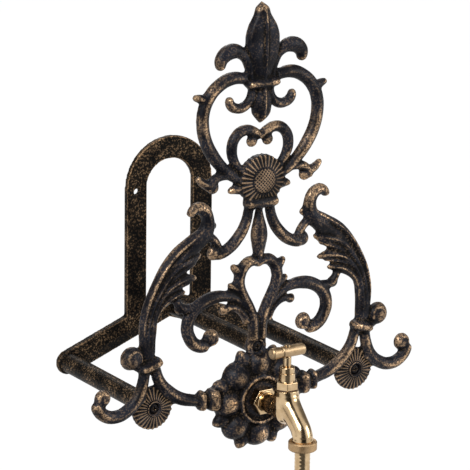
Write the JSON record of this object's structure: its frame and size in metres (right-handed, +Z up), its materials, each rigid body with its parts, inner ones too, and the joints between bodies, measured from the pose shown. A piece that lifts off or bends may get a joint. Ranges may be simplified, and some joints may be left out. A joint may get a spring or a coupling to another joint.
{
  "type": "hose hanger",
  "caption": "Wall-mounted cast hose hanger: an ornamental scrollwork panel on round bars in front of an arched bracket, with a brass bib tap worked by a T-handle.",
  "frame": {"origin": "on the wall plane, midway between the axes of the wall screws", "axes": "+Z up, +Y into the wall, so the panel and the tap stand out towards -Y; +X to the right seen from the front"},
  "size_m": [0.3756, 0.265, 0.449],
  "materials": {
    "bracket_iron": "dark brown-black cast, slightly rough",
    "panel_iron": "blue-black with gold rubbed on the ridges",
    "screw_steel": "blackened",
    "brass": "polished",
    "seal_fibre": "plain",
    "seal_rubber": "plain"
  },
  "bodies": {
    "hanger": {"wall_bracket": "bracket_iron", "front_panel": "panel_iron", "panel_screws": "screw_steel", "tap_body": "brass", "tap_lock_nut": "brass", "bonnet": "brass", "bonnet_washer": "seal_fibre", "gland_nut": "brass", "gland_packing": "seal_fibre", "union_nut": "brass", "union_washer": "seal_rubber", "hose_tail": "brass"},
    "valve": {"valve_jumper": "brass", "valve_washer": "seal_rubber", "washer_nut": "brass"},
    "handle": {"spindle": "brass", "tee_handle": "brass"}
  },
  "joints": [
    {"name": "valve_lift", "type": "slide", "parent": "hanger", "child": "valve", "axis": [0, 0, 1], "range_m": [0, 0.005]},
    {"name": "handle_turn", "type": "hinge", "parent": "valve", "child": "handle", "pos_m": [0, -0.222, -0.1145], "axis": [0, 0, 1], "range_deg": [0, 900]}
  ],
  "couplings": [
    {"joint": "valve_lift", "follows": "handle_turn", "m_per_rad": 0.000318}
  ]
}
